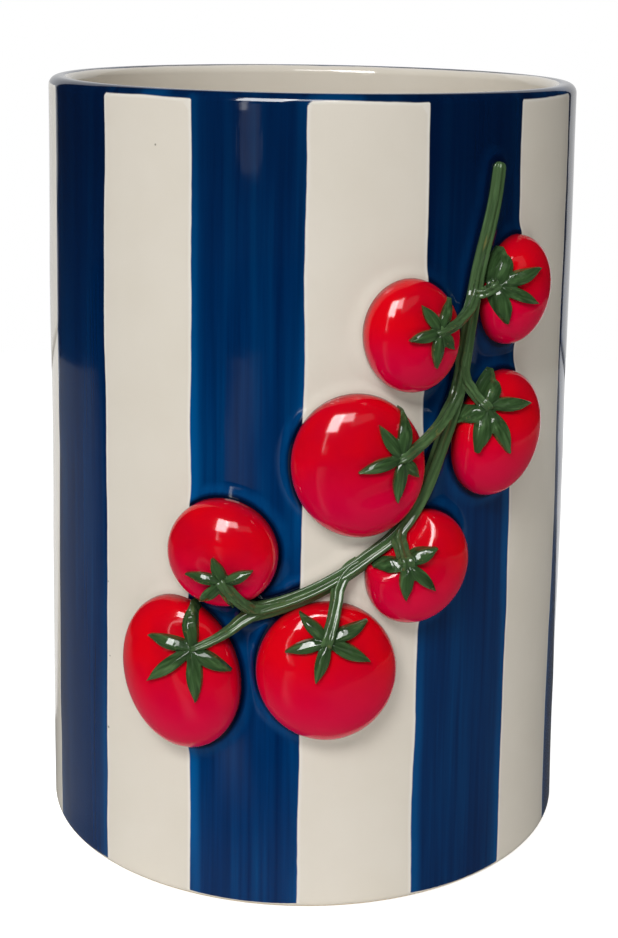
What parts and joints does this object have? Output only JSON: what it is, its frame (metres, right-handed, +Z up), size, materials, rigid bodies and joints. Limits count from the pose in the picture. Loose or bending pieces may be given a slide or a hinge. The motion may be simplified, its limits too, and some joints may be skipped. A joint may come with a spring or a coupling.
{
  "type": "utensil crock",
  "caption": "Straight-walled round stoneware utensil crock with a rounded lip, a foot ring, vertical stripes and a vine of tomatoes in relief on one side.",
  "frame": {"origin": "centre of the foot ring, on the surface that the crock stands on", "axes": "+Z up along the jar's axis, -Y to the side with the relief, +X to the right of it"},
  "size_m": [0.13, 0.1413, 0.186],
  "materials": {
    "striped_glaze": "gloss glaze, cream with painted blue stripes",
    "tomato_red_glaze": "gloss glaze",
    "leaf_green_glaze": "gloss glaze"
  },
  "bodies": {
    "root": {"crock_body": "striped_glaze", "vine_stem": "leaf_green_glaze", "tomato_low_left": "tomato_red_glaze", "calyx_low_left": "leaf_green_glaze", "stalk_low_left": "leaf_green_glaze", "tomato_low_right": "tomato_red_glaze", "calyx_low_right": "leaf_green_glaze", "stalk_low_right": "leaf_green_glaze", "tomato_low_middle": "tomato_red_glaze", "calyx_low_middle": "leaf_green_glaze", "stalk_low_middle": "leaf_green_glaze", "tomato_upper_left": "tomato_red_glaze", "calyx_upper_left": "leaf_green_glaze", "stalk_upper_left": "leaf_green_glaze", "tomato_centre": "tomato_red_glaze", "calyx_centre": "leaf_green_glaze", "stalk_centre": "leaf_green_glaze", "tomato_right_middle": "tomato_red_glaze", "calyx_right_middle": "leaf_green_glaze", "stalk_right_middle": "leaf_green_glaze", "tomato_upper": "tomato_red_glaze", "calyx_upper": "leaf_green_glaze", "stalk_upper": "leaf_green_glaze", "tomato_top_right": "tomato_red_glaze", "calyx_top_right": "leaf_green_glaze", "stalk_top_right": "leaf_green_glaze"}
  },
  "joints": []
}
